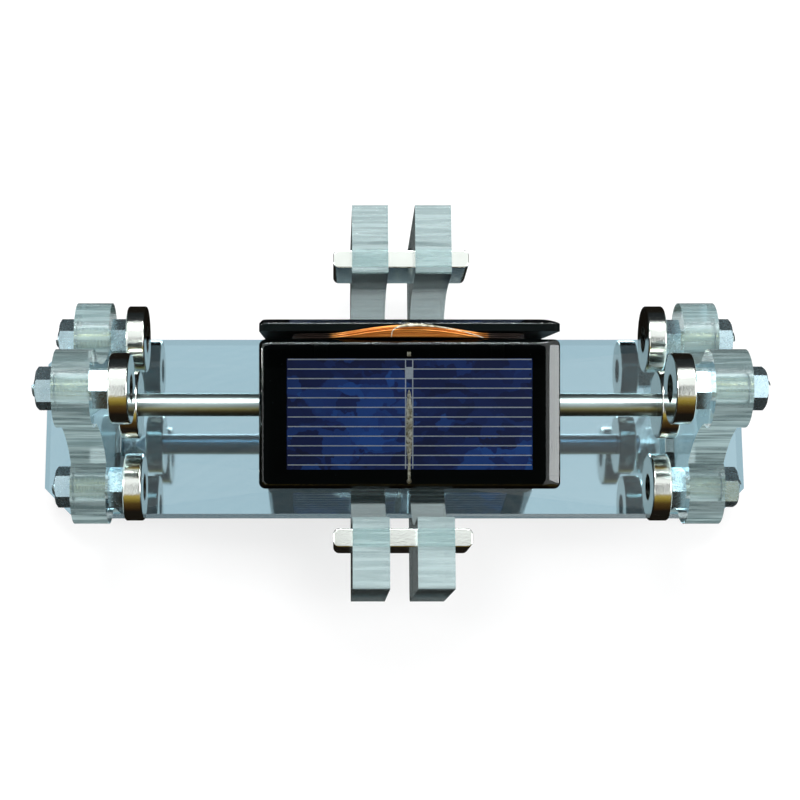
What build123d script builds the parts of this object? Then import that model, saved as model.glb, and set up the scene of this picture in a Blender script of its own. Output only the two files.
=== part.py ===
"""Solar levitation motor: a four-sided drum of solar panels turns between ring magnets.

Millimetres.  X runs along the shaft, Y to the back, Z up.  The origin is on the underside
of the base plate, in the middle of the plate.
"""

import os
from math import atan2, cos, degrees, hypot, radians, sin, sqrt

from build123d import *

os.makedirs("parts", exist_ok=True)

# ---------------------------------------------------------------- clearances
slide_fit = 0.05          # each side, between a part and the hole that it passes through
running_gap = 0.3         # between the turning parts and the stand
resting_gap = 0.02        # radial, between the shaft and what is glued on it

# ---------------------------------------------------------------- stand
plate_end_margin = 10.05  # from the outer face of an upright to the end of the plate
plate_depth = 41.6
plate_thickness = 10.0
plate_corner_cut = 6.0
sheet_thickness = 7.8     # uprights and arms are cut from one sheet
axis_above_plate = 28.0
tab_recess = 0.2          # tabs end this far above the underside of the plate

upright_inner_face = 64.05    # from the middle between the uprights
upright_pair_shift = -0.25    # along X, from the middle of the plate to the middle between them
lobe_radius = 8.2
lobe_circle_radius = 19.5     # the three screws stand on this circle round the shaft
lower_lobe_angle = 30.0       # below the horizontal
foot_depth = 40.8
foot_height = 8.5
foot_hollow_in = 0.5      # how far the hollow above the foot dips inwards
foot_hollow_up = 0.3
upright_tab_depth = 12.4
flank_radius_point = (8.6, 4.6)   # a point of the waist between the lobes, from the shaft axis

arm_pair_shift = 0.4      # the pair of arms stands this far right of the middle
arm_spacing = 13.6
arm_top = 14.5            # above the shaft axis
arm_drum_gap = 1.2        # between the corners of the drum and the arms, as it turns
arm_inner_wall = 1.9      # between the drum's side of the arm and the bar magnet
arm_outer_wall = 9.03     # between the bar magnet and the outer end of the arm
arm_corner_radius = 3.0
arm_tip_radius = 0.8
arm_tab_depth = 24.0

# ---------------------------------------------------------------- magnets and fasteners
bar_overhang = 4.05       # beyond the outer face of each arm
bar_thickness = 4.0
bar_height = 14.0
bar_bottom = -3.5         # below the shaft axis
bar_corner_radius = 1.3
bar_edge_radius = 0.3

ring_diameter = 15.0
ring_length = 4.2
fixed_ring_bore = 6.0
ring_edge_radius = 0.5

thread_diameter = 5.0
hex_across_flats = 8.0
screw_head_height = 3.6
nut_height = 4.0
screw_tip_length = 0.6
screw_tip_radius = 0.5
upright_hole_clearance = 0.1

# ---------------------------------------------------------------- rotor
shaft_diameter = 5.0
shaft_cone_length = 3.0
shaft_tip_radius = 0.4
shaft_free_end = 62.7     # right end of the shaft
shaft_end_cut = 0.5
shaft_ring_distance = 58.7    # from the middle of the plate to the middle of a shaft magnet

drum_shift = 1.7          # the drum sits this far right of the middle
drum_turn = 9.5           # degrees, as it stands at rest
panel_length = 63.3
panel_width = 31.4
board_thickness = 1.5
resin_thickness = 1.0
drum_half = 17.8          # from the shaft axis to the outer face of a panel
panel_corner_radius = 1.4
resin_edge_radius = 0.7
cell_length = 51.6
cell_width = 23.4
cell_thickness = 0.25
cheek_thickness = 3.0

# ---------------------------------------------------------------- windings
wire_diameter = 0.4
wire_pitch = 0.87         # from one turn to the next, both ways
turns_per_layer = 5
smallest_self_gap = 0.4
first_end_inset = 10.25   # from the end of a panel to where the innermost turn bends
second_end_inset = 4.7
straight_run = 3.9        # from the bend of the first winding to where its turns rise
bulge_half_length = 6.0
lean_half_length = 2.0
first_bulge_rise = 4.2    # the loose middle of the innermost turn rises by this much
second_bulge_rise = 1.2   # this winding stays within its slot
bulge_rise_growth = 0.2   # more for each further turn
leaning_turns = 2         # turns of the first winding that rise clear of the panels and lean over
lean_growth = 0.65
bend_below_rows = 3.0     # from the innermost turn to the bend towards the shaft
shaft_passing = 4.0       # from the axis to the nearest turn
corner_bend = 0.8
shoulder_bend = 1.2
passing_bend = 5.0
rise_bend = 12.0
lean_bend = 8.0

# ---------------------------------------------------------------- worked out from these
axis_height = plate_thickness + axis_above_plate
upright_outer_face = upright_inner_face + sheet_thickness
plate_length = 2 * (upright_outer_face + plate_end_margin)
arm_inner_radius = drum_half * sqrt(2) + arm_drum_gap
bar_distance = arm_inner_radius + arm_inner_wall + slide_fit + bar_thickness / 2
arm_span = 2 * (bar_distance + bar_thickness / 2 + slide_fit + arm_outer_wall)
bar_length = arm_spacing + sheet_thickness + 2 * bar_overhang
panel_thickness = board_thickness + resin_thickness
drum_inner_half = drum_half - panel_thickness
panel_centre = panel_width / 2 - drum_half
panel_free_end = panel_width - drum_half
slot_middle = (panel_free_end + drum_inner_half) / 2
screw_start_distance = upright_inner_face - screw_head_height
first_winding_end = panel_length / 2 - first_end_inset
second_winding_end = panel_length / 2 - second_end_inset
straight_half_length = first_winding_end - straight_run
sides = {"left": -1, "right": 1}


def lobe_centres():
    """Screw positions round the shaft axis: name, across (Y) and up (Z from the axis)."""
    across = lobe_circle_radius * cos(radians(lower_lobe_angle))
    drop = lobe_circle_radius * sin(radians(lower_lobe_angle))
    return {
        "top": (0.0, lobe_circle_radius),
        "back": (across, -drop),
        "front": (-across, -drop),
    }


def cross_plane(x):
    """The plane across the shaft at x, with its origin on the shaft axis."""
    return Plane(origin=(x, 0, axis_height), x_dir=(0, 1, 0), z_dir=(1, 0, 0))


def finish(part, name):
    part.label = name
    export_step(part, f"parts/{name}.step")


# ================================================================ base plate
with BuildPart() as base_plate:
    with BuildSketch():
        Rectangle(plate_length, plate_depth)
        chamfer(vertices(), plate_corner_cut)
        with Locations(
            (upright_pair_shift - upright_inner_face - sheet_thickness / 2, 0),
            (upright_pair_shift + upright_inner_face + sheet_thickness / 2, 0),
        ):
            Rectangle(
                sheet_thickness + 2 * slide_fit,
                upright_tab_depth + 2 * slide_fit,
                mode=Mode.SUBTRACT,
            )
        with Locations(
            (arm_pair_shift - arm_spacing / 2, 0),
            (arm_pair_shift + arm_spacing / 2, 0),
        ):
            Rectangle(
                sheet_thickness + 2 * slide_fit,
                arm_tab_depth + 2 * slide_fit,
                mode=Mode.SUBTRACT,
            )
    extrude(amount=plate_thickness)
finish(base_plate.part, "base_plate")


# ================================================================ uprights
def point_on_lobe(centre, angle):
    return (
        centre[0] + lobe_radius * cos(radians(angle)),
        centre[1] + lobe_radius * sin(radians(angle)),
    )


top_lobe = lobe_centres()["top"]
side_lobe = lobe_centres()["back"]
foot_half = foot_depth / 2
foot_line = -axis_above_plate + foot_height
lobe_foot = point_on_lobe(side_lobe, -38)
lobe_side = point_on_lobe(side_lobe, 35)
lobe_waist = point_on_lobe(side_lobe, 122)
head_waist = point_on_lobe(top_lobe, -36)
head_side = point_on_lobe(top_lobe, 20)
head_top = point_on_lobe(top_lobe, 90)
foot_hollow = (
    (foot_half + lobe_foot[0]) / 2 - foot_hollow_in,
    (foot_line + lobe_foot[1]) / 2 + foot_hollow_up,
)

for side, sign in sides.items():
    inner = upright_pair_shift + sign * upright_inner_face
    with BuildPart() as upright:
        with BuildSketch(cross_plane(inner)):
            with BuildLine():
                Line((0, -axis_above_plate), (foot_half, -axis_above_plate))
                Line((foot_half, -axis_above_plate), (foot_half, foot_line))
                ThreePointArc((foot_half, foot_line), foot_hollow, lobe_foot)
                ThreePointArc(lobe_foot, lobe_side, lobe_waist)
                ThreePointArc(lobe_waist, flank_radius_point, head_waist)
                ThreePointArc(head_waist, head_side, head_top)
                Line(head_top, (0, -axis_above_plate))
            make_face()
            mirror(about=Plane.YZ)
            tab_height = plate_thickness - tab_recess
            with Locations((0, -axis_above_plate - tab_height / 2)):
                Rectangle(upright_tab_depth, tab_height)
            with Locations(*lobe_centres().values()):
                Circle(thread_diameter / 2 + upright_hole_clearance, mode=Mode.SUBTRACT)
        extrude(amount=sign * sheet_thickness)
    finish(upright.part, f"{side}_upright")


# ================================================================ arms
for side, sign in sides.items():
    arm_middle = arm_pair_shift + sign * arm_spacing / 2
    with BuildPart() as arm:
        with BuildSketch(cross_plane(arm_middle)) as arm_profile:
            with Locations((0, (arm_top - axis_above_plate) / 2)):
                Rectangle(arm_span, arm_top + axis_above_plate)
            fillet(arm_profile.vertices().group_by(Axis.Y)[0], arm_corner_radius)
            fillet(arm_profile.vertices().group_by(Axis.Y)[-1], arm_tip_radius)
            Circle(arm_inner_radius, mode=Mode.SUBTRACT)
            with Locations((0, arm_top)):
                Rectangle(2 * arm_inner_radius, 2 * arm_top, mode=Mode.SUBTRACT)
            tab_height = plate_thickness - tab_recess
            with Locations((0, -axis_above_plate - tab_height / 2)):
                Rectangle(arm_tab_depth, tab_height)
            with Locations(
                (-bar_distance, bar_bottom + bar_height / 2),
                (bar_distance, bar_bottom + bar_height / 2),
            ):
                Rectangle(
                    bar_thickness + 2 * slide_fit,
                    bar_height + 2 * slide_fit,
                    mode=Mode.SUBTRACT,
                )
        extrude(amount=sheet_thickness / 2, both=True)
    finish(arm.part, f"{side}_arm")


# ================================================================ bar magnets
for place, sign in {"back": 1, "front": -1}.items():
    bar_plane = Plane(origin=(arm_pair_shift, sign * bar_distance, axis_height + bar_bottom))
    with BuildPart() as bar:
        with BuildSketch(bar_plane):
            RectangleRounded(bar_length, bar_thickness, bar_corner_radius)
        extrude(amount=bar_height)
        rims = bar.faces().sort_by(Axis.Z)[0].edges() + bar.faces().sort_by(Axis.Z)[-1].edges()
        fillet(rims, bar_edge_radius)
    finish(bar.part, f"{place}_bar_magnet")


# ================================================================ ring magnets, screws and nuts
def ring_magnet(plane, bore):
    """A ring magnet that stands on the plane, with rounded rims."""
    with BuildPart() as ring:
        with BuildSketch(plane):
            Circle(ring_diameter / 2)
            Circle(bore / 2, mode=Mode.SUBTRACT)
        extrude(amount=ring_length)
        outer_rims = ring.edges().filter_by(GeomType.CIRCLE).group_by(SortBy.RADIUS)[-1]
        fillet(outer_rims, ring_edge_radius)
    return ring.part


hexagon_turns = {
    "left_top": (43, 12),
    "left_back": (14, 12),
    "left_front": (39, 24.5),
    "right_top": (21, 35),
    "right_back": (57.5, 46.5),
    "right_front": (20, 51),
}

for side, sign in sides.items():
    for lobe, (across, up) in lobe_centres().items():
        head_turn, nut_turn = hexagon_turns[f"{side}_{lobe}"]
        out = (sign, 0, 0)
        screw_start = Plane(
            origin=(upright_pair_shift + sign * screw_start_distance, across, axis_height + up),
            x_dir=(0, 0, 1),
            z_dir=out,
        )
        with BuildPart() as screw:
            with BuildSketch(screw_start):
                RegularPolygon(
                    hex_across_flats / 2, 6, major_radius=False, rotation=head_turn
                )
            extrude(amount=screw_head_height)
            with BuildSketch(screw_start.offset(screw_head_height)):
                Circle(thread_diameter / 2)
            extrude(amount=sheet_thickness + nut_height + screw_tip_length)
            tip = screw.edges().filter_by(GeomType.CIRCLE).sort_by(Axis.X)[-1 if sign > 0 else 0]
            fillet(tip, screw_tip_radius)
        finish(screw.part, f"{side}_{lobe}_screw")

        with BuildPart() as nut:
            with BuildSketch(screw_start.offset(screw_head_height + sheet_thickness)):
                RegularPolygon(
                    hex_across_flats / 2, 6, major_radius=False, rotation=nut_turn
                )
                Circle(thread_diameter / 2 + resting_gap, mode=Mode.SUBTRACT)
            extrude(amount=nut_height)
        finish(nut.part, f"{side}_{lobe}_nut")

        magnet = ring_magnet(screw_start.offset(-ring_length), fixed_ring_bore)
        finish(magnet, f"{side}_{lobe}_ring_magnet")


# ================================================================ shaft and its magnets
shaft_tip = upright_pair_shift - upright_inner_face + running_gap
shaft_radius = shaft_diameter / 2
with BuildPart() as shaft:
    with BuildSketch(Plane(origin=(0, 0, axis_height), x_dir=(1, 0, 0), z_dir=(0, -1, 0))):
        with BuildLine():
            Polyline(
                (shaft_tip, 0),
                (shaft_tip, shaft_tip_radius),
                (shaft_tip + shaft_cone_length, shaft_radius),
                (shaft_free_end - shaft_end_cut, shaft_radius),
                (shaft_free_end, shaft_radius - shaft_end_cut),
                (shaft_free_end, 0),
                close=True,
            )
        make_face()
    revolve(axis=Axis((0, 0, axis_height), (1, 0, 0)))
finish(shaft.part, "shaft")

for side, sign in sides.items():
    ring_start = cross_plane(sign * shaft_ring_distance - ring_length / 2)
    magnet = ring_magnet(ring_start, shaft_diameter + 2 * resting_gap)
    finish(magnet, f"{side}_shaft_magnet")


# ================================================================ drum
def drum_direction(quarter):
    """Outward normal of the panel that stands this many quarter turns behind the top one."""
    angle = radians(90 + drum_turn - 90 * quarter)
    return Vector(0, cos(angle), sin(angle))


def drum_plane(x, quarter=0):
    """Across the shaft at x from the drum's middle; local Y is the panel's normal."""
    along = drum_direction(quarter + 1)
    return Plane(origin=(drum_shift + x, 0, axis_height), x_dir=along, z_dir=(1, 0, 0))


def panel_plane(quarter, height):
    """Parallel to a panel, height above the shaft axis, with local X along the shaft."""
    normal = drum_direction(quarter)
    origin = Vector(drum_shift, 0, axis_height) + normal * height
    return Plane(origin=origin, x_dir=(1, 0, 0), z_dir=normal)


def outer_rim(part, normal):
    """Edges of the flat face that lies furthest along the normal."""
    flats = part.faces().filter_by(GeomType.PLANE)
    return flats.sort_by(Axis((0, 0, axis_height), normal))[-1].edges()


# Each panel reaches the outer corner with one long edge and stops short of the next corner
# with the other, so that every corner of the drum has a slot for a winding.
for quarter, place in enumerate(("top", "back", "bottom", "front")):
    normal = drum_direction(quarter)
    board_plane = panel_plane(quarter, drum_inner_half)
    resin_plane = panel_plane(quarter, drum_inner_half + board_thickness)

    with BuildPart() as board:
        with BuildSketch(board_plane):
            with Locations((0, panel_centre)):
                RectangleRounded(panel_length, panel_width, panel_corner_radius)
        extrude(amount=board_thickness)
    finish(board.part, f"{place}_panel_board")

    with BuildPart() as cell:
        with BuildSketch(resin_plane):
            with Locations((0, panel_centre)):
                Rectangle(cell_length, cell_width)
        extrude(amount=cell_thickness)
    finish(cell.part, f"{place}_panel_cell")

    with BuildPart() as resin:
        with BuildSketch(resin_plane):
            with Locations((0, panel_centre)):
                RectangleRounded(panel_length, panel_width, panel_corner_radius)
        extrude(amount=resin_thickness)
        fillet(outer_rim(resin, normal), resin_edge_radius)
        with BuildSketch(resin_plane):
            with Locations((0, panel_centre)):
                Rectangle(cell_length, cell_width)
        extrude(amount=cell_thickness, mode=Mode.SUBTRACT)
    finish(resin.part, f"{place}_panel_resin")


# ================================================================ cheeks
wire_radius = wire_diameter / 2
innermost_turn = drum_inner_half - wire_pitch * (turns_per_layer - 0.5) - wire_diameter
notch_side = slot_middle - wire_pitch / 2 - wire_radius - wire_diameter
notch_floor = innermost_turn - wire_pitch - wire_radius - wire_diameter
notch_corner = drum_inner_half + wire_diameter
notch_x = (notch_side + notch_corner) / 2
notch_y = (notch_floor + notch_corner) / 2
notch_angle = degrees(atan2(notch_y, notch_x))
cheek_outer_face = first_winding_end - wire_pitch - wire_diameter

for side, sign in sides.items():
    with BuildPart() as cheek:
        with BuildSketch(drum_plane(sign * (cheek_outer_face - cheek_thickness / 2))):
            Rectangle(2 * drum_inner_half, 2 * drum_inner_half)
            Circle(shaft_radius + resting_gap, mode=Mode.SUBTRACT)
            with PolarLocations(hypot(notch_x, notch_y), 4, start_angle=notch_angle):
                Rectangle(
                    notch_corner - notch_side,
                    notch_corner - notch_floor,
                    rotation=-notch_angle,
                    mode=Mode.SUBTRACT,
                )
        extrude(amount=cheek_thickness / 2, both=True)
    finish(cheek.part, f"{side}_drum_cheek")


# ================================================================ windings
def half_turns():
    """Layer, level in turns, growth and slot of every half turn, in winding order."""
    order = []
    for turn in range(turns_per_layer):
        order.append((0, turn, 1, 1))
        order.append((0, turn + 0.5, 1, -1))
    for turn in reversed(range(turns_per_layer)):
        order.append((1, turn, -1, 1))
        order.append((1, turn - 0.5, -1, -1))
    return order


def winding_route(innermost_end, bulge_rise, leaning):
    """Corner points (across, out, along) of one winding and the radius of each bend.

    The wire spirals outwards in one layer, climbs into the next and spirals back inwards.
    Slot 1 and slot -1 lie opposite each other, on either side of the shaft.  The first lead
    comes in one turn below the innermost one, so that it passes below the other layer.
    """
    route = []
    bends = []

    def add(slot, across, out, along, bend):
        route.append((slot * across, slot * out, slot * along))
        bends.append(bend)

    def across_in(slot, layer):
        return slot_middle + slot * (layer - 0.5) * wire_pitch

    shoulder = innermost_turn - bend_below_rows
    shoulder_shift = 0.75 * wire_pitch
    turns = half_turns()
    first_out = innermost_turn - wire_pitch
    first_along = -(innermost_end - wire_pitch)
    first_leaning_level = turns_per_layer - leaning - 0.5
    add(1, drum_inner_half, first_out, first_along, 0)
    add(1, across_in(1, 0), first_out, first_along, corner_bend)
    for number, (layer, level, growth, slot) in enumerate(turns):
        across = across_in(slot, layer)
        out = innermost_turn + level * wire_pitch
        along = innermost_end + level * wire_pitch
        far_along = innermost_end + (level + 0.25 * growth) * wire_pitch
        top = out + bulge_rise + bulge_rise_growth * level
        lean = max(0.0, lean_growth * (level - first_leaning_level))
        if number > 0:
            add(slot, across, out, -along, corner_bend)
        add(slot, across, out, -straight_half_length, rise_bend)
        add(slot, across, top, -bulge_half_length, lean_bend)
        if lean > 0:
            add(slot, across + lean, top, -lean_half_length, lean_bend)
            add(slot, across + lean, top, lean_half_length, lean_bend)
        add(slot, across, top, bulge_half_length, lean_bend)
        add(slot, across, out, straight_half_length, rise_bend)
        add(slot, across, out, far_along, corner_bend)
        if number + 1 == len(turns):
            add(slot, drum_inner_half, out, far_along, 0)
            break
        # The two layers run side by side past the shaft, the outer one further from it.
        outer = 1 if (layer == 1) == (slot == 1) else 0
        next_across = across_in(-slot, turns[number + 1][0])
        diagonal = hypot(slot_middle, shoulder)
        pass_across = shaft_passing * shoulder / diagonal + outer * wire_pitch
        pass_out = -shaft_passing * slot_middle / diagonal - outer * shoulder_shift
        add(slot, across, shoulder - outer * shoulder_shift, far_along, shoulder_bend)
        add(slot, pass_across, pass_out, far_along, passing_bend)
        add(slot, -next_across, -shoulder - outer * shoulder_shift, far_along, shoulder_bend)
    return route, bends[1:-1]


def least_self_gap(wire):
    """Smallest free distance between any two turns of the wire, measured on close points."""
    spacing = 0.25
    apart_along = 3.0
    samples = []
    travelled = 0.0
    for edge in wire.edges():
        count = max(1, round(edge.length / spacing))
        for number in range(count):
            point = edge.position_at(number / count)
            samples.append((point.X, point.Y, point.Z, travelled + edge.length * number / count))
        travelled += edge.length
    cells = {}
    for sample in samples:
        cell = tuple(int(value // 1.5) for value in sample[:3])
        cells.setdefault(cell, []).append(sample)
    least = 100.0
    steps = (-1, 0, 1)
    around = [(i, j, k) for i in steps for j in steps for k in steps]
    for cell, members in cells.items():
        near = []
        for step in around:
            near += cells.get(tuple(a + b for a, b in zip(cell, step)), [])
        for x, y, z, at in members:
            for other_x, other_y, other_z, other_at in near:
                if other_at - at > apart_along:
                    gap = (x - other_x) ** 2 + (y - other_y) ** 2 + (z - other_z) ** 2
                    least = min(least, gap)
    return sqrt(least) - wire_diameter


windings = {
    "first_winding": (0, first_winding_end, first_bulge_rise, leaning_turns),
    "second_winding": (1, second_winding_end, second_bulge_rise, 0),
}
for name, (quarter, innermost_end, bulge_rise, leaning) in windings.items():
    corner_points, bend_radii = winding_route(innermost_end, bulge_rise, leaning)
    with BuildPart() as winding:
        with BuildLine(drum_plane(0, quarter)) as route:
            FilletPolyline(*corner_points, radius=bend_radii)
        path = route.wire()
        with BuildSketch(Plane(origin=path @ 0, z_dir=path % 0)):
            Circle(wire_radius)
        sweep(path=path)
    gap = least_self_gap(path)
    print(f"{name}: least gap between turns {gap:.3f} mm, wanted over {smallest_self_gap}")
    finish(winding.part, name)
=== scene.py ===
"""Solar levitation motor: the looks of every piece, the studio and the camera.

Metres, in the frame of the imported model: X along the shaft, Y to the back, Z up.
"""

from math import cos, hypot, pi, radians, sin, sqrt

import bpy
from mathutils import Matrix, Vector


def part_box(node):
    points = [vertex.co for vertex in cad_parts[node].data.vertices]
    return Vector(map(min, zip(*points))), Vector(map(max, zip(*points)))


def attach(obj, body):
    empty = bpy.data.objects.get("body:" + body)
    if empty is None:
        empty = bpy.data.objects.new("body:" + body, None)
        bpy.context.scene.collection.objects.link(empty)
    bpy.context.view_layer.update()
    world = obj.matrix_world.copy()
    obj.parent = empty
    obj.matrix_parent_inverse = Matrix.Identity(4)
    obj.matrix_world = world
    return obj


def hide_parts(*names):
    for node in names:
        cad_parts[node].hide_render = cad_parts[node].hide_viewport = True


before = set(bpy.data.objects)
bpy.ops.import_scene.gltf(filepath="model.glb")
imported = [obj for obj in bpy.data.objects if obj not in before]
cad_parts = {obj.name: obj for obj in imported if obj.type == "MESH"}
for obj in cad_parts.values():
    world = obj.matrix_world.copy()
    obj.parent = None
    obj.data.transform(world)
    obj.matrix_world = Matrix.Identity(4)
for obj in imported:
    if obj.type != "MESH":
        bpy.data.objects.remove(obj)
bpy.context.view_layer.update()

MM = 0.001
drum_middle = Vector((1.7 * MM, 0, 38 * MM))
drum_turn = 9.5                   # degrees, of the drum at rest

# ---------------------------------------------------------------- camera
sight_height = 38 * MM            # of the shaft, which the camera aims at
camera_rise = radians(79.8)       # above the horizon
camera_distance = 380.6 * MM
camera_aside = -14.4 * MM
frame_width = 36.0                # of the film, in millimetres
lens_length = 77.9
shift_right = 0.0838
shift_up = 0.0062

camera_data = bpy.data.cameras.new("camera")
camera = bpy.data.objects.new("camera", camera_data)
bpy.context.collection.objects.link(camera)
camera_data.sensor_width = frame_width
camera_data.lens = lens_length
camera_data.shift_x = shift_right
camera_data.shift_y = shift_up
camera.location = (
    camera_aside,
    -camera_distance * cos(camera_rise),
    sight_height + camera_distance * sin(camera_rise),
)
camera.rotation_euler = (pi / 2 - camera_rise, 0, 0)
bpy.context.scene.camera = camera
bpy.context.scene.view_settings.view_transform = "Standard"


# ---------------------------------------------------------------- shader sums
class Wire:
    """One output of a shader tree, which can stand in sums with numbers and other wires."""

    def __init__(self, tree, socket):
        self.tree = tree
        self.socket = socket

    def sum(self, operation, *others):
        node = self.tree.nodes.new("ShaderNodeMath")
        node.operation = operation
        for slot, value in zip(node.inputs, others):
            plug(self.tree, slot, value)
        return Wire(self.tree, node.outputs[0])

    def __add__(self, other):
        return self.sum("ADD", self, other)

    def __radd__(self, other):
        return self.sum("ADD", other, self)

    def __sub__(self, other):
        return self.sum("SUBTRACT", self, other)

    def __rsub__(self, other):
        return self.sum("SUBTRACT", other, self)

    def __mul__(self, other):
        return self.sum("MULTIPLY", self, other)

    def __rmul__(self, other):
        return self.sum("MULTIPLY", other, self)

    def __truediv__(self, other):
        return self.sum("DIVIDE", self, other)

    def size(self):
        return self.sum("ABSOLUTE", self)

    def greater(self, other):
        return self.sum("MAXIMUM", self, other)

    def between(self, low, high):
        """0 at low, 1 at high, and smooth from one to the other."""
        node = self.tree.nodes.new("ShaderNodeMapRange")
        node.interpolation_type = "SMOOTHSTEP"
        for slot, value in zip(node.inputs, (self, low, high, 0.0, 1.0)):
            plug(self.tree, slot, value)
        return Wire(self.tree, node.outputs[0])


def plug(tree, slot, value):
    if isinstance(value, Wire):
        tree.links.new(value.socket, slot)
    elif isinstance(value, bpy.types.NodeSocket):
        tree.links.new(value, slot)
    else:
        slot.default_value = value


class Finish:
    """The shader tree of one material, or of the world."""

    def __init__(self, owner):
        self.owner = owner
        owner.use_nodes = True
        self.tree = owner.node_tree
        self.tree.nodes.clear()

    def node(self, kind, settings=None, values=None, out=0):
        """A node of this kind: its settings first, then the values or wires of its sockets."""
        made = self.tree.nodes.new("ShaderNode" + kind)
        for name, setting in (settings or {}).items():
            if name == "stops":
                ramp = made.color_ramp
                while len(ramp.elements) < len(setting):
                    ramp.elements.new(0.5)
                for element, (position, colour) in zip(ramp.elements, setting):
                    element.position = position
                    element.color = colour
            else:
                setattr(made, name, setting)
        for name, value in (values or {}).items():
            plug(self.tree, made.inputs[name], value)
        return Wire(self.tree, made.outputs[out])

    def place(self):
        return self.node("TexCoord", out="Object")

    def axes(self, vector):
        split = self.node("SeparateXYZ", values={"Vector": vector})
        outputs = split.socket.node.outputs
        return [Wire(self.tree, outputs[name]) for name in "XYZ"]

    def facing(self):
        """The surface's own direction, along X, Y and Z."""
        return self.axes(self.node("NewGeometry", out="Normal"))

    def stretched(self, vector, scale):
        return self.node("Mapping", values={"Vector": vector, "Scale": scale})

    def noise(self, vector, scale, detail=2.0, roughness=0.5):
        return self.node(
            "TexNoise",
            values={"Vector": vector, "Scale": scale, "Detail": detail, "Roughness": roughness},
            out="Fac",
        )

    def blend(self, share, first, second):
        return self.node(
            "MixRGB", values={"Fac": share, "Color1": first, "Color2": second}
        )

    def ramp(self, share, *stops):
        return self.node("ValToRGB", {"stops": stops}, {"Fac": share})

    def bump(self, height, depth, strength=1.0):
        return self.node(
            "Bump", values={"Height": height, "Distance": depth, "Strength": strength}
        )

    def principled(self, **values):
        named = {key.replace("_", " "): value for key, value in values.items()}
        return self.node("BsdfPrincipled", values=named)

    def mix(self, share, first, second):
        made = self.tree.nodes.new("ShaderNodeMixShader")
        for slot, value in zip(made.inputs, (share, first, second)):
            plug(self.tree, slot, value)
        return Wire(self.tree, made.outputs[0])

    def surface(self, shader):
        kind = "World" if isinstance(self.owner, bpy.types.World) else "Material"
        output = self.tree.nodes.new(f"ShaderNodeOutput{kind}")
        plug(self.tree, output.inputs["Surface"], shader)
        return self.owner


def new_finish(name):
    return Finish(bpy.data.materials.new(name))


def grey(level):
    return (level, level, level, 1.0)


# ---------------------------------------------------------------- finishes
def tinted(colour, light):
    """The colour made lighter or darker by a painted light level, and opaque."""
    return (*(channel * light for channel in colour), 1.0)


def clear_acrylic(name, flat_light, back_light, front_light, front_haze):
    """Cast acrylic sheet: polished faces, and cut edges with fine lines across the sheet.

    Its shade depends on which way a face points: the three lights are for level faces and
    for those to the back and to the front. front_haze is not used, though the faces to the
    front are still made cloudier.
    """
    finish = new_finish(name)
    place = finish.place()
    along, back, up = finish.facing()
    cut_edge = 1.0 - along.size().between(0.6, 0.9)
    lines = finish.noise(finish.stretched(place, (60.0, 2600.0, 2600.0)), 1.0, 3.0, 0.6)
    bands = finish.noise(finish.stretched(place, (50.0, 1300.0, 1300.0)), 1.0, 3.0, 0.6)
    ripple = finish.bump(lines * cut_edge, 0.00010, 0.5)
    # Painted light and shade: the glass and the haze are made lighter or darker by which way a
    # face points, level, to the back or to the front, by the three lights.
    level = up.size().between(0.2, 0.9)
    front = (0.0 - back).between(-0.3, 0.5)
    glass = (0.76, 0.89, 0.90)
    flat_glass, back_glass, front_glass = (
        tinted(glass, sqrt(light)) for light in (flat_light, back_light, front_light)
    )
    clear = finish.principled(
        Base_Color=finish.blend(level, finish.blend(front, back_glass, front_glass), flat_glass),
        Roughness=0.02 + cut_edge * lines * 0.12,
        IOR=1.22,
        Transmission_Weight=1.0,
        Normal=ripple,
    )
    dull, pale = (0.27, 0.41, 0.42), (0.46, 0.62, 0.63)
    flat_haze, back_haze, front_haze = (
        finish.blend(bands.between(0.36, 0.60), tinted(dull, light), tinted(pale, light))
        for light in (flat_light, back_light, 1.3 * front_light)
    )
    haze = finish.principled(
        Base_Color=finish.blend(level, finish.blend(front, back_haze, front_haze), flat_haze),
        Roughness=0.35,
        Normal=ripple,
    )
    # The share of haze grows a little on faces that point up, and on faces to the front by the
    # brightness of their lit haze colour: this too is painted light and shade.
    streaks = 0.26 + 0.10 * bands.between(0.4, 0.7) + 0.08 * up.between(0.2, 0.9)
    cloud = cut_edge * streaks * (1.0 + front_haze * front * (1.0 - level))
    return finish.surface(finish.mix(cloud, clear, haze))


def plate_acrylic():
    """The base plate: blue-grey tinted acrylic, whose level faces are mostly a mirror."""
    finish = new_finish("plate_acrylic")
    place = finish.place()
    _, _, up = finish.facing()
    face = up.size().between(0.7, 0.95)
    clouds = finish.noise(place, 22.0, 2.0, 0.5)
    mirror = finish.principled(
        Base_Color=finish.blend(clouds, (0.32, 0.48, 0.56, 1.0), (0.40, 0.59, 0.67, 1.0)),
        Metallic=1.0,
        Roughness=0.05,
    )
    clear = finish.principled(
        Base_Color=(0.52, 0.67, 0.71, 1.0),
        Roughness=0.05,
        IOR=1.49,
        Transmission_Weight=1.0,
    )
    return finish.surface(finish.mix(0.05 + 0.82 * face, clear, mirror))


def shaded_underside(finish, colour, below=(0.160, 0.152, 0.136, 1.0)):
    """The colour of bright metal, with painted shade on its undersides, which take the colour
    below.
    """
    _, _, up = finish.facing()
    return finish.blend(up.between(-0.55, -0.05), below, colour)


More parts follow.
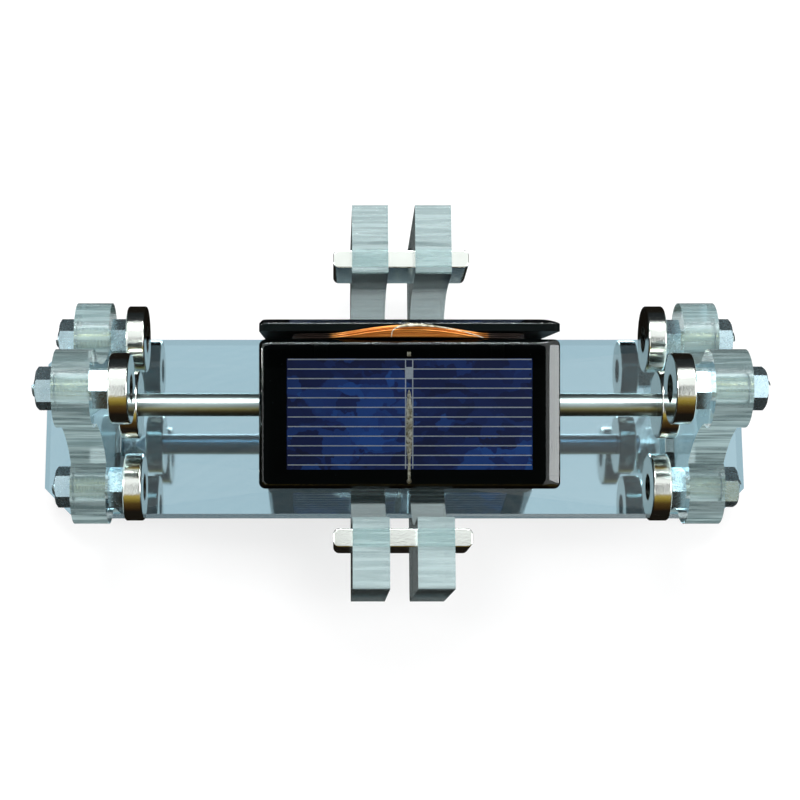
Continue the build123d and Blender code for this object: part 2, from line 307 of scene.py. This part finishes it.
def bright_nickel():
    """Nickel plate with the fine grain of the magnet below it, and painted shade on its end faces
    and undersides.
    """
    finish = new_finish("bright_nickel")
    place = finish.place()
    fine = finish.noise(place, 2300.0, 3.0, 0.65)
    wear = finish.noise(place, 180.0, 2.0, 0.5)
    plating = finish.blend(wear, (0.78, 0.83, 0.78, 1.0), (0.92, 0.97, 0.93, 1.0))
    along, _, _ = finish.facing()
    # Painted shade: the end faces, which point along the shaft, are darker.
    shaded_end_faces = along.size().between(0.75, 0.95)
    plating = finish.blend(shaded_end_faces, plating, (0.34, 0.36, 0.33, 1.0))
    # Painted shade on the undersides as well.
    return finish.surface(finish.principled(
        Base_Color=shaded_underside(finish, plating),
        Metallic=1.0,
        Roughness=0.08 + 0.10 * fine,
        Normal=finish.bump(fine, 0.00004, 0.45),
    ))


def zinc_steel():
    """Zinc plated steel, bluish and slightly rough."""
    finish = new_finish("zinc_steel")
    place = finish.place()
    fine = finish.noise(place, 1700.0, 4.0, 0.7)
    wear = finish.noise(place, 420.0, 3.0, 0.6)
    plating = finish.blend(wear, (0.34, 0.50, 0.58, 1.0), (0.62, 0.80, 0.86, 1.0))
    # Painted shade: the undersides take a dark grey.
    return finish.surface(finish.principled(
        Base_Color=shaded_underside(finish, plating, (0.20, 0.22, 0.22, 1.0)),
        Metallic=0.95,
        Roughness=0.18 + 0.20 * fine,
        Normal=finish.bump(fine, 0.00004, 0.45),
    ))


def painted_gold_thread():
    """Steel threads with a golden cast, as they look through the acrylic: the gold is a painted
    reflection.
    """
    finish = new_finish("painted_gold_thread")
    grain = finish.noise(finish.place(), 900.0, 2.0, 0.5)
    return finish.surface(finish.principled(
        Base_Color=finish.blend(grain, (0.58, 0.50, 0.30, 1.0), (0.92, 0.85, 0.62, 1.0)),
        Metallic=0.9,
        Roughness=0.28,
    ))


def polished_rod():
    """Ground steel rod, with fine grinding lines round it."""
    finish = new_finish("polished_rod")
    place = finish.place()
    rings = finish.noise(finish.stretched(place, (5000.0, 60.0, 60.0)), 1.0, 2.0, 0.6)
    # Painted shade: the undersides take a dark blue-grey.
    return finish.surface(finish.principled(
        Base_Color=shaded_underside(finish, (0.56, 0.70, 0.70, 1.0), (0.16, 0.20, 0.24, 1.0)),
        Metallic=1.0,
        Roughness=0.27 + 0.12 * rings,
        Normal=finish.bump(rings, 0.00001, 0.2),
    ))


def panel_board():
    """Black coated board with a little dust."""
    finish = new_finish("panel_board")
    place = finish.place()
    specks = finish.noise(place, 1400.0, 2.0, 0.7).between(0.70, 0.78)
    tint = finish.noise(place, 90.0, 2.0, 0.5)
    base = finish.blend(tint, (0.0008, 0.0015, 0.0015, 1.0), (0.002, 0.004, 0.004, 1.0))
    return finish.surface(finish.principled(
        Base_Color=finish.blend(specks * 0.3, base, (0.06, 0.09, 0.09, 1.0)),
        Roughness=0.35 + 0.25 * tint,
        Specular_IOR_Level=0.03,
    ))


def solar_cell():
    """Dark blue silicon whose crystals catch the light in lighter, slanting patches."""
    finish = new_finish("solar_cell")
    place = finish.place()
    bend = finish.node(
        "TexNoise", values={"Vector": place, "Scale": 230.0, "Detail": 3.0}, out="Color"
    )
    bent = finish.node("MixRGB", values={"Fac": 0.008, "Color1": place, "Color2": bend})
    slant = radians(-28)
    slanting = finish.node(
        "Mapping",
        values={"Vector": bent, "Rotation": (0.0, 0.0, slant), "Scale": (1.0, 2.1, 1.0)},
    )
    small, large = (
        finish.axes(finish.node(
            "TexVoronoi",
            values={"Vector": slanting, "Scale": scale, "Randomness": 1.0},
            out="Color",
        ))
        for scale in (175.0, 70.0)
    )
    glow = finish.noise(place, 45.0, 2.0, 0.5)
    shade = 0.40 * large[0] + 0.35 * small[1] + 0.35 * glow
    colour = finish.ramp(
        shade,
        (0.20, (0.006, 0.014, 0.068, 1.0)),
        (0.50, (0.009, 0.026, 0.142, 1.0)),
        (0.66, (0.013, 0.048, 0.240, 1.0)),
        (0.84, (0.020, 0.110, 0.440, 1.0)),
    )
    return finish.surface(finish.principled(
        Base_Color=colour,
        Roughness=0.35 + 0.12 * small[2],
        Specular_IOR_Level=0.2,
    ))


def clear_resin():
    """The clear cast cover of a panel: seen through from above, and shining at its rounded rim."""
    finish = new_finish("clear_resin")
    place = finish.place()
    waves = finish.noise(place, 60.0, 2.0, 0.5)
    shine = finish.principled(
        Base_Color=(0.9, 0.95, 0.95, 1.0),
        Metallic=1.0,
        Roughness=0.03,
        Normal=finish.bump(waves, 0.0002, 0.06),
    )
    seen_through = finish.node("BsdfTransparent", values={"Color": (0.93, 0.95, 0.95, 1.0)})
    gloss = finish.node("Fresnel", values={"IOR": 1.62})
    return finish.surface(finish.mix(gloss, seen_through, shine))


def silver_lines():
    finish = new_finish("silver_lines")
    place = finish.place()
    grain = finish.noise(place, 2200.0, 2.0, 0.6)
    return finish.surface(finish.principled(
        Base_Color=finish.blend(grain, (0.44, 0.52, 0.60, 1.0), (0.72, 0.80, 0.84, 1.0)),
        Roughness=0.45,
    ))


def solder():
    finish = new_finish("solder")
    place = finish.place()
    grain = finish.noise(place, 1300.0, 3.0, 0.7)
    return finish.surface(finish.principled(
        Base_Color=finish.blend(
            grain.between(0.3, 0.7), (0.16, 0.14, 0.07, 1.0), (0.80, 0.80, 0.68, 1.0)
        ),
        Metallic=0.5,
        Roughness=0.25 + 0.3 * grain,
        Normal=finish.bump(grain, 0.0003, 0.8),
    ))


def enamelled_copper():
    """Enamelled wire: bright where the turns stand clear of the slot, and dark inside it, where
    the shade is painted.
    """
    finish = new_finish("enamelled_copper")
    place = finish.place()
    shade = finish.noise(place, 160.0, 2.0, 0.6)
    _, across, up = finish.axes(place)
    turn = radians(drum_turn)
    out = -sin(turn) * across + cos(turn) * (up - drum_middle.z)
    clear_of_slot = out.size().between(15.2 * MM, 16.2 * MM)
    bright = finish.blend(shade, (0.66, 0.17, 0.025, 1.0), (1.0, 0.46, 0.10, 1.0))
    # Painted shade: inside the slot the wire is dark, not metallic and not coated.
    return finish.surface(finish.principled(
        Base_Color=finish.blend(clear_of_slot, (0.020, 0.009, 0.005, 1.0), bright),
        Metallic=0.75 * clear_of_slot,
        Roughness=0.30 + 0.3 * (1.0 - clear_of_slot),
        Coat_Weight=0.5 * clear_of_slot,
        Coat_Roughness=0.1,
    ))


def black_cheek():
    finish = new_finish("black_cheek")
    place = finish.place()
    grain = finish.noise(place, 500.0, 3.0, 0.6)
    return finish.surface(finish.principled(
        Base_Color=finish.blend(grain, (0.008, 0.008, 0.009, 1.0), (0.030, 0.030, 0.032, 1.0)),
        Roughness=0.45 + 0.2 * grain,
    ))


# The arms and the uprights are lit and shaded copies of one acrylic: their lights are painted
# light levels.
arm_finish = clear_acrylic(
    "arm_acrylic", flat_light=0.76, back_light=0.27, front_light=0.16, front_haze=0.1
)
upright_finish = clear_acrylic(
    "upright_acrylic", flat_light=0.80, back_light=0.58, front_light=1.02, front_haze=1.1
)
plate_finish = plate_acrylic()
nickel_finish = bright_nickel()
zinc_finish = zinc_steel()
thread_finish = painted_gold_thread()
rod_finish = polished_rod()
board_finish = panel_board()
cell_finish = solar_cell()
resin_finish = clear_resin()
line_finish = silver_lines()
solder_finish = solder()
copper_finish = enamelled_copper()
cheek_finish = black_cheek()


# ---------------------------------------------------------------- model helpers
def nothing_selected():
    bpy.ops.object.select_all(action="DESELECT")


def only(piece):
    nothing_selected()
    piece.select_set(True)
    bpy.context.view_layer.objects.active = piece


def edit_where(piece, kind, test):
    """Opens the piece for editing with only those faces, edges or vertices selected."""
    only(piece)
    bpy.ops.object.mode_set(mode="EDIT")
    bpy.ops.mesh.select_mode(type={"faces": "FACE", "edges": "EDGE", "vertices": "VERT"}[kind])
    bpy.ops.mesh.select_all(action="DESELECT")
    bpy.ops.object.mode_set(mode="OBJECT")
    mesh = piece.data
    if kind == "faces":
        for face in mesh.polygons:
            face.select = test(face.center, face.normal)
    elif kind == "edges":
        for edge in mesh.edges:
            ends = [mesh.vertices[i].co for i in edge.vertices]
            edge.select = test(*ends)
    else:
        for vertex in mesh.vertices:
            vertex.select = test(vertex.co)
    bpy.ops.object.mode_set(mode="EDIT")


def leave_edit():
    bpy.ops.object.mode_set(mode="OBJECT")


def modify(piece, kind, **settings):
    only(piece)
    modifier = piece.modifiers.new(kind.lower(), kind)
    for name, value in settings.items():
        setattr(modifier, name, value)
    bpy.ops.object.modifier_apply(modifier=modifier.name)


def applied(piece):
    only(piece)
    bpy.ops.object.transform_apply(location=True, rotation=True, scale=True)
    return piece


def block(size, middle):
    bpy.ops.mesh.primitive_cube_add(size=1, location=middle)
    piece = bpy.context.active_object
    piece.scale = size
    return applied(piece)


def joined(pieces):
    nothing_selected()
    for piece in pieces:
        piece.select_set(True)
    bpy.context.view_layer.objects.active = pieces[0]
    bpy.ops.object.join()
    return pieces[0]


def smooth(piece, angle=35):
    only(piece)
    bpy.ops.object.shade_smooth_by_angle(angle=radians(angle))


def placed_copy(template, name, placing):
    """A copy of the template with its own mesh, set in its place."""
    piece = template.copy()
    piece.data = template.data.copy()
    piece.data.transform(placing)
    piece.name = name
    bpy.context.collection.objects.link(piece)
    return piece


def discard(*pieces):
    for piece in pieces:
        bpy.data.objects.remove(piece)


def dress(piece, material):
    piece.data.materials.clear()
    piece.data.materials.append(material)


def belongs(piece, body, slot, *nodes):
    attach(piece, body)
    if nodes:
        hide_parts(*nodes)


# ---------------------------------------------------------------- the nodes that stay
def dress_nodes():
    finishes = {
        "base_plate": plate_finish,
        "_upright": upright_finish,
        "_arm": arm_finish,
        "magnet": nickel_finish,
        "shaft": rod_finish,
        "_board": board_finish,
        "_cheek": cheek_finish,
    }
    for name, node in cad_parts.items():
        for ending, material in finishes.items():
            if name.endswith(ending):
                dress(node, material)


# ---------------------------------------------------------------- screws and nuts
flats = 8.0 * MM
corner_reach = flats / sqrt(3)
head_height = 3.6 * MM
nut_height = 4.0 * MM
sheet = 7.8 * MM
screw_tip = 0.6 * MM
thread_pitch = 0.8 * MM
thread_top = 2.46 * MM
thread_root = 2.02 * MM
screw_length = head_height + sheet + nut_height + screw_tip
tip_bevel = 0.5 * MM
bevel_reach = 3.95 * MM            # how far the level end of a hexagon reaches from its middle
bevel_height = 0.42 * MM
mouth_reach = thread_top * 1.25    # of the cone at the mouth of a nut
sharp_angle = radians(40)


def hexagon(height, both_ends):
    """A hexagonal block on the ground, its corners turned off at the lower or at both ends."""
    bpy.ops.mesh.primitive_cylinder_add(
        vertices=6, radius=corner_reach, depth=height, location=(0, 0, height / 2)
    )
    block_piece = applied(bpy.context.active_object)
    upper = height - bevel_height if both_ends else height
    bpy.ops.mesh.primitive_cylinder_add(
        vertices=72,
        radius=corner_reach * 1.01,
        depth=upper - bevel_height,
        location=(0, 0, (upper + bevel_height) / 2),
    )
    turning = applied(bpy.context.active_object)
    narrow = bevel_reach / corner_reach
    ends = [(-1, bevel_height)] + ([(1, upper)] if both_ends else [])
    for way, level in ends:
        edit_where(turning, "faces", lambda c, n, w=way: n.z * w > 0.9)
        bpy.ops.mesh.extrude_region_move(
            TRANSFORM_OT_translate={"value": (0, 0, way * bevel_height * 1.001)}
        )
        bpy.ops.transform.resize(
            value=(narrow, narrow, 1), center_override=(0, 0, level + way * bevel_height)
        )
        leave_edit()
    modify(block_piece, "BOOLEAN", operation="INTERSECT", object=turning, solver="EXACT")
    discard(turning)
    return block_piece


def thread(start, end):
    """A helical ridge round a core, which ends in a rounded tip."""
    bpy.ops.mesh.primitive_circle_add(vertices=3, radius=thread_top, fill_type="NOTHING")
    ridge = bpy.context.active_object
    ridge.name = "ridge"
    corners = [
        (thread_root, 0, 0), (thread_top, 0, thread_pitch / 2), (thread_root, 0, thread_pitch)
    ]
    for vertex, corner in zip(ridge.data.vertices, corners):
        vertex.co = corner
    edit_where(ridge, "edges", lambda a, b: abs(a.z - b.z) > 0.9 * thread_pitch)
    bpy.ops.mesh.delete(type="EDGE")
    leave_edit()
    turns = int((end - start) / thread_pitch)
    modify(
        ridge, "SCREW", screw_offset=thread_pitch, iterations=turns, steps=28, render_steps=28,
        use_merge_vertices=True, merge_threshold=0.00001, axis="Z",
    )
    ridge.data.transform(Matrix.Translation((0, 0, start)))
    last = start + turns * thread_pitch
    edit_where(ridge, "vertices", lambda c: c.z > last - 0.2 * thread_pitch)
    shrink = thread_root / thread_top
    bpy.ops.transform.resize(value=(shrink, shrink, 1), center_override=(0, 0, last))
    leave_edit()
    bpy.ops.mesh.primitive_cylinder_add(
        vertices=36,
        radius=thread_root * 1.01,
        depth=end - start,
        location=(0, 0, (start + end) / 2),
    )
    core = applied(bpy.context.active_object)
    edit_where(core, "edges", lambda a, b: min(a.z, b.z) > end - 0.1 * MM)
    bpy.ops.mesh.bevel(offset=tip_bevel, segments=4, affect="EDGES")
    leave_edit()
    return [ridge, core]


def screw_template():
    """A screw: a plain hexagon head, the threads and a tip plated like the head."""
    head = hexagon(head_height, both_ends=False)
    modify(
        head, "BEVEL", width=0.10 * MM, segments=2, limit_method="ANGLE", angle_limit=sharp_angle
    )
    parts = [head] + thread(head_height - thread_pitch, screw_length)
    dress(head, zinc_finish)
    for part in parts[1:]:
        smooth(part, 50)
        dress(part, thread_finish)
    screw = joined(parts)
    for face in screw.data.polygons:
        if face.center.z > screw_length - screw_tip:
            face.material_index = screw.data.materials.find(zinc_finish.name)
    return screw


def nut_template():
    """A nut with a smooth bore and a cone at its outer mouth."""
    nut = hexagon(nut_height, both_ends=True)
    bpy.ops.mesh.primitive_cylinder_add(
        vertices=48,
        radius=thread_top * 1.01,
        depth=3 * nut_height,
        location=(0, 0, nut_height / 2),
    )
    bore = applied(bpy.context.active_object)
    modify(nut, "BOOLEAN", operation="DIFFERENCE", object=bore, solver="EXACT")
    discard(bore)
    bpy.ops.mesh.primitive_cone_add(
        vertices=48,
        radius1=mouth_reach,
        radius2=0.0,
        depth=mouth_reach,
        location=(0, 0, nut_height - mouth_reach / 2),
        rotation=(pi, 0, 0),
    )
    mouth = applied(bpy.context.active_object)
    mouth.data.transform(Matrix.Translation((0, 0, 0.01 * MM)))
    modify(nut, "BOOLEAN", operation="DIFFERENCE", object=mouth, solver="EXACT")
    discard(mouth)
    modify(
        nut, "BEVEL", width=0.08 * MM, segments=2, limit_method="ANGLE", angle_limit=sharp_angle
    )
    dress(nut, zinc_finish)
    return nut


# Degrees by which the corners of each screw head and each nut are turned round the screw.
hexagon_turns = {
    "left_top": (43, 12),
    "left_back": (14, 12),
    "left_front": (39, 24.5),
    "right_top": (21, 35),
    "right_back": (57.5, 46.5),
    "right_front": (20, 51),
}


def outward_placing(node, turn):
    """Stands a template on the node's inner end, pointing outwards along the shaft."""
    low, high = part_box(node)
    across = (low[1] + high[1]) / 2
    up = (low[2] + high[2]) / 2
    way = 1 if low[0] > 0 else -1
    start = low[0] if way > 0 else high[0]
    turned = Matrix(((0, 0, way, 0), (0, -way, 0, 0), (1, 0, 0, 0), (0, 0, 0, 1)))
    first_corner = radians(turn - 30)
    return Matrix.Translation((start, across, up)) @ turned @ Matrix.Rotation(first_corner, 4, "Z")


def screws_and_nuts():
    screw = screw_template()
    nut = nut_template()
    for place, (head_turn, nut_turn) in hexagon_turns.items():
        for kind, template, turn in (("screw", screw, head_turn), ("nut", nut, nut_turn)):
            node = f"{place}_{kind}"
            piece = placed_copy(template, f"threaded_{node}", outward_placing(node, turn))
            belongs(piece, "stand", "zinc_steel", node)
    discard(screw, nut)


# ---------------------------------------------------------------- solar panels
panel_length = 63.3 * MM
panel_width = 31.4 * MM
panel_corner = 1.4 * MM
resin_floor = 16.8 * MM            # height over the shaft axis
drum_half = 17.8 * MM              # from the shaft axis to the outer face of a panel
panel_centre = panel_width / 2 - drum_half
cell_length = 51.6 * MM
cell_width = 23.4 * MM
cell_height = 0.25 * MM
finger_count = 12
finger_pitch = 2.015 * MM
finger_width = 0.22 * MM
first_finger = 9.36 * MM
line_inset = 0.4 * MM              # the lines are this much shorter than the cell
cross_line_offset = 0.75 * MM
ribbon_along = -0.1 * MM           # the ribbon lies this far from the middle of the panel
# Steps from the rim of the resin to its flat middle: inwards at the left end, at the right
# end and at the long sides, and up, in millimetres.
resin_slope = [
    (0.06, 0.20, 0.06, 0.16), (0.10, 0.25, 0.10, 0.13), (0.14, 0.45, 0.14, 0.17),
    (0.16, 0.60, 0.18, 0.18), (0.16, 0.70, 0.18, 0.16), (0.14, 0.70, 0.16, 0.11),
    (0.20, 0.60, 0.20, 0.03), (0.30, 0.30, 0.30, 0.00),
]


def panel_placing(quarter):
    turn = radians(drum_turn - 90 * quarter)
    return Matrix.Translation(drum_middle) @ Matrix.Rotation(turn, 4, "X")


def resin_template():
    """The cast cover, which sinks towards its rim as poured resin does."""
    rim_height = 0.06 * MM
    cover = block(
        (panel_length, panel_width, rim_height), (0, panel_centre, resin_floor + rim_height / 2)
    )
    edit_where(cover, "edges", lambda a, b: abs(a.z - b.z) > 0.5 * rim_height)
    bpy.ops.mesh.bevel(offset=panel_corner, segments=8, affect="EDGES")
    leave_edit()
    edit_where(cover, "faces", lambda c, n: n.z > 0.999)
    left, right = -panel_length / 2, panel_length / 2
    width, level = panel_width, resin_floor + rim_height
    for left_step, right_step, side_step, rise in resin_slope:
        bpy.ops.mesh.extrude_region_move(TRANSFORM_OT_translate={"value": (0, 0, rise * MM)})
        level += rise * MM
        shorter = (left_step + right_step) * MM / (right - left)
        still = left + (right - left) * left_step / (left_step + right_step)
        bpy.ops.transform.resize(
            value=(1 - shorter, 1 - 2 * side_step * MM / width, 1),
            center_override=(still, panel_centre, level),
        )
        left += left_step * MM
        right -= right_step * MM
        width -= 2 * side_step * MM
    leave_edit()
    smooth(cover, 80)
    dress(cover, resin_finish)
    return cover


def cell_template():
    cell = block(
        (cell_length, cell_width, cell_height), (0, panel_centre, resin_floor + cell_height / 2)
    )
    modify(cell, "BEVEL", width=0.05 * MM, segments=1)
    dress(cell, cell_finish)
    return cell


def line_template():
    """Printed silver lines: fingers along the cell and a pair of lines across it."""
    top = resin_floor + cell_height
    parts = []
    for number in range(finger_count):
        level = first_finger - number * finger_pitch
        size = (cell_length - line_inset, finger_width, 0.03 * MM)
        parts.append(block(size, (0, level, top)))
    for side in (-1, 1):
        parts.append(block(
            (finger_width, cell_width - line_inset, 0.04 * MM),
            (ribbon_along + side * cross_line_offset, panel_centre, top),
        ))
    parts.append(block((1.5 * MM, 2.3 * MM, 0.05 * MM), (ribbon_along, 6.6 * MM, top)))
    lines = joined(parts)
    dress(lines, line_finish)
    return lines


def solder_template():
    """Solder along the middle of a panel, its contact pad, the ribbon and its end drop."""
    top = resin_floor + cell_height
    bpy.ops.mesh.primitive_uv_sphere_add(segments=24, ring_count=24, radius=1, location=(0, 0, 0))
    run = bpy.context.active_object
    run.scale = (0.75 * MM, 7.6 * MM, 0.20 * MM)
    run.location = (ribbon_along, -4.6 * MM, top)
    run = applied(run)
    pad = block(
        (0.8 * MM, 0.9 * MM, 0.12 * MM), (ribbon_along, 10.5 * MM, resin_floor + 0.1 * MM)
    )
    ribbon = block(
        (0.55 * MM, 5.4 * MM, 0.10 * MM), (ribbon_along, -13.2 * MM, top + 0.05 * MM)
    )
    bpy.ops.mesh.primitive_uv_sphere_add(segments=16, ring_count=10, radius=0.55 * MM)
    drop = bpy.context.active_object
    drop.scale = (1, 1, 0.5)
    drop.location = (ribbon_along, -16.2 * MM, resin_floor + 0.15 * MM)
    piece = joined([run, pad, ribbon, applied(drop)])
    smooth(piece, 50)
    dress(piece, solder_finish)
    return piece


def panels():
    templates = {
        "resin": (resin_template(), "clear_resin"),
        "cell": (cell_template(), "solar_cell"),
        "lines": (line_template(), "solar_cell"),
        "solder": (solder_template(), "solar_cell"),
    }
    for quarter, place in enumerate(("top", "back", "bottom", "front")):
        for kind, (template, slot) in templates.items():
            piece = placed_copy(template, f"{place}_{kind}", panel_placing(quarter))
            replaced = {"resin": [f"{place}_panel_resin"], "cell": [f"{place}_panel_cell"]}
            belongs(piece, "rotor", slot, *replaced.get(kind, []))
    discard(*(template for template, _ in templates.values()))


# ---------------------------------------------------------------- windings
wire_radius = 0.15 * MM
strand_pitch = 0.46 * MM
strand_layers = 3
strands_per_layer = 8
slot_middle = 14.45 * MM
innermost_strand = 11.2 * MM
shoulder = 8.0 * MM
shaft_passing = 4.0 * MM
layer_squeeze = 0.85      # pitch of the layers, as a share of strand_pitch
passing_squeeze = 0.75    # how much the turns spread outwards where they pass the shaft
untidiness = 0.10         # of the loose middle, as a share of its lean
# Along the slot: distance from the middle, share of the rise and share of the sideways lean.
loose_middle = [
    (17.5, 0.0, 0.0), (14.5, 0.60, 0.02), (11.0, 0.90, 0.32), (7.0, 1.0, 0.72), (2.5, 1.0, 1.0),
]


def winding(name, node, quarter, innermost_end, top_level, top_spread, lean):
    """One wire wound through two opposite slots of the drum and past the shaft.

    top_level is how far from the axis the innermost strand rises in the loose middle,
    top_spread what the outermost adds to that, and lean how far the strands fan sideways.
    """
    points = []
    diagonal = hypot(slot_middle, shoulder)

    def add(slot, across, out, along):
        points.append((along * slot, across * slot, out * slot))

    for layer in range(strand_layers):
        order = range(strands_per_layer)
        for strand in order if layer % 2 == 0 else reversed(order):
            share = strand / (strands_per_layer - 1)
            for slot in (1, -1):
                across = slot_middle + slot * (layer - 1) * strand_pitch * layer_squeeze
                out = innermost_strand + strand * strand_pitch
                along = innermost_end + strand * strand_pitch
                loose = untidiness * sin(5.1 * strand + 2.3 * layer + slot)
                rise = top_level + top_spread * share - out
                sideways = lean * max(0.0, share + loose)
                add(slot, across, out, -along)
                passing = [(-x * MM, up, aside) for x, up, aside in loose_middle]
                passing += [(x * MM, up, aside) for x, up, aside in reversed(loose_middle)]
                for where, up, aside in passing:
                    add(slot, across + aside * sideways, out + up * rise, where)
                add(slot, across, out, along)
                outer = (layer if slot == 1 else strand_layers - 1 - layer) * strand_pitch
                deeper = outer * passing_squeeze
                add(slot, across, shoulder - deeper, along)
                add(
                    slot,
                    shaft_passing * shoulder / diagonal + outer,
                    -shaft_passing * slot_middle / diagonal - deeper,
                    along,
                )
                add(slot, -(2 * slot_middle - across), -shoulder - deeper, along)
    curve = bpy.data.curves.new(name, "CURVE")
    curve.dimensions = "3D"
    spline = curve.splines.new("NURBS")
    spline.points.add(len(points) - 1)
    placing = panel_placing(quarter)
    for point, place in zip(spline.points, points):
        point.co = (*(placing @ Vector(place)), 1.0)
    spline.order_u = 3
    spline.use_endpoint_u = True
    spline.resolution_u = 4
    curve.bevel_depth = wire_radius
    curve.bevel_resolution = 1
    curve.use_fill_caps = True
    piece = bpy.data.objects.new(name, curve)
    bpy.context.collection.objects.link(piece)
    curve.materials.append(copper_finish)
    belongs(piece, "rotor", "copper_winding", node)


def silver_lead():
    """The tinned end of the first winding, which lies over its loose turns."""
    # Along the shaft, towards the back and out from the axis, in millimetres.
    course = [
        (-3.9, 13.9, 19.5), (-3.9, 15.0, 20.0), (-3.0, 15.9, 20.2), (-0.5, 16.5, 20.2),
        (3.0, 16.4, 20.0), (7.5, 15.9, 19.4), (12.0, 15.0, 18.6), (15.5, 13.9, 17.4),
    ]
    widths = [0.35, 0.40, 0.70, 1.9, 1.2, 0.55, 0.45, 0.35]
    curve = bpy.data.curves.new("tinned_lead", "CURVE")
    curve.dimensions = "3D"
    spline = curve.splines.new("NURBS")
    spline.points.add(len(course) - 1)
    placing = panel_placing(0)
    for point, place, width in zip(spline.points, course, widths):
        point.co = (*(placing @ (Vector(place) * MM)), 1.0)
        point.radius = width
    spline.order_u = 3
    spline.use_endpoint_u = True
    spline.resolution_u = 8
    curve.bevel_depth = 0.22 * MM
    curve.bevel_resolution = 2
    curve.use_fill_caps = True
    piece = bpy.data.objects.new("tinned_lead", curve)
    bpy.context.collection.objects.link(piece)
    curve.materials.append(solder_finish)
    belongs(piece, "rotor", "copper_winding")


# ---------------------------------------------------------------- studio
card_side = 0.7           # from the middle to the left and right cards
card_end = 0.45           # from the middle to the back and front cards
card_thickness = 1 * MM
lamp_aim = Vector((0, 0, 0.04))


def studio_world():
    world = bpy.data.worlds.new("studio")
    bpy.context.scene.world = world
    sky = Finish(world)
    fill = sky.node("Background", values={"Color": grey(1.0), "Strength": 0.75})
    white = sky.node("Background", values={"Color": grey(1.0), "Strength": 1.0})
    sky.surface(sky.mix(seen_directly(sky), fill, white))


def seen_directly(finish):
    """1 for what the camera sees, also in a mirror or through something clear."""
    outputs = finish.node("LightPath").socket.node.outputs
    camera_ray, glossy_ray, transmission_ray = (
        Wire(finish.tree, outputs[f"Is {kind} Ray"])
        for kind in ("Camera", "Glossy", "Transmission")
    )
    return camera_ray.greater(glossy_ray).greater(transmission_ray)


def studio_floor():
    bpy.ops.mesh.primitive_plane_add(size=6.0, location=(0, 0, 0))
    floor = bpy.context.active_object
    floor.name = "floor"
    finish = new_finish("pale_floor")
    paper = finish.node("BsdfDiffuse", values={"Color": grey(0.86)})
    white = finish.node("Emission", values={"Color": grey(1.0), "Strength": 1.0})
    dress(floor, finish.surface(finish.mix(seen_directly(finish) * 0.7, paper, white)))


def studio_card(name, low, high, *colours):
    """A card beside the motor that only shows as a reflection in its bright metal.

    Several colours shade into each other from the lower edge of the card to the upper.
    """
    piece = block(
        [max(b - a, card_thickness) for a, b in zip(low, high)],
        [(a + b) / 2 for a, b in zip(low, high)],
    )
    piece.name = name
    if len(colours) == 1:
        colours *= 2
    finish = new_finish(name)
    _, _, up = finish.axes(finish.place())
    share = (up - low[2]) / max(high[2] - low[2], card_thickness)
    steps = len(colours) - 1
    stops = [(number / steps, (*colour, 1.0)) for number, colour in enumerate(colours)]
    shade = finish.ramp(share, *stops)
    dress(piece, finish.surface(finish.node("Emission", values={"Color": shade})))
    piece.visible_camera = False
    piece.visible_diffuse = False
    piece.visible_transmission = False
    piece.visible_shadow = False


def studio_cards():
    side, end = card_side, card_end
    studio_card("back_card", (-side, end, 0.0), (side, end, 0.37), (0.015, 0.018, 0.020))
    studio_card(
        "front_card", (-side, -end, 0.0), (side, -end, 0.70),
        (0.020, 0.010, 0.005), (0.080, 0.045, 0.012), (0.36, 0.26, 0.045), (0.46, 0.36, 0.14),
    )
    studio_card(
        "floor_cloth", (-side, -end, 0.001), (side, end, 0.001), (0.010, 0.008, 0.006)
    )
    studio_card("lens_card", (-0.095, -0.30, 0.43), (0.135, -0.010, 0.43), (0.004, 0.004, 0.004))
    for name, x in (("left_card", -side), ("right_card", side)):
        studio_card(name, (x, -end, 0.0), (x, end, 0.34), (0.03, 0.03, 0.02), (0.06, 0.065, 0.05))


def soft_box(name, place, width, height, power):
    """A rectangular lamp that faces the motor."""
    lamp_data = bpy.data.lights.new(name, "AREA")
    lamp_data.shape = "RECTANGLE"
    lamp_data.size = width
    lamp_data.size_y = height
    lamp_data.energy = power
    lamp = bpy.data.objects.new(name, lamp_data)
    bpy.context.collection.objects.link(lamp)
    lamp.location = place
    aim = lamp_aim - Vector(place)
    lamp.rotation_euler = aim.to_track_quat("-Z", "Y").to_euler()


def studio_lamps():
    soft_box("right_soft_box", (0.48, -0.06, 0.46), 0.26, 0.46, 2.4)
    soft_box("left_soft_box", (-0.60, 0.05, 0.30), 0.12, 0.40, 2.0)
    soft_box("back_soft_box", (0.0, 0.42, 0.62), 0.60, 0.16, 5.0)


nothing_selected()
dress_nodes()
screws_and_nuts()
panels()
winding(
    "wound_first_winding", "first_winding", quarter=0, innermost_end=21.4 * MM,
    top_level=17.4 * MM, top_spread=1.9 * MM, lean=1.6 * MM,
)
winding(
    "wound_second_winding", "second_winding", quarter=1, innermost_end=26.9 * MM,
    top_level=12.9 * MM, top_spread=3.6 * MM, lean=0.0,
)
silver_lead()
studio_world()
studio_floor()
studio_cards()
studio_lamps()
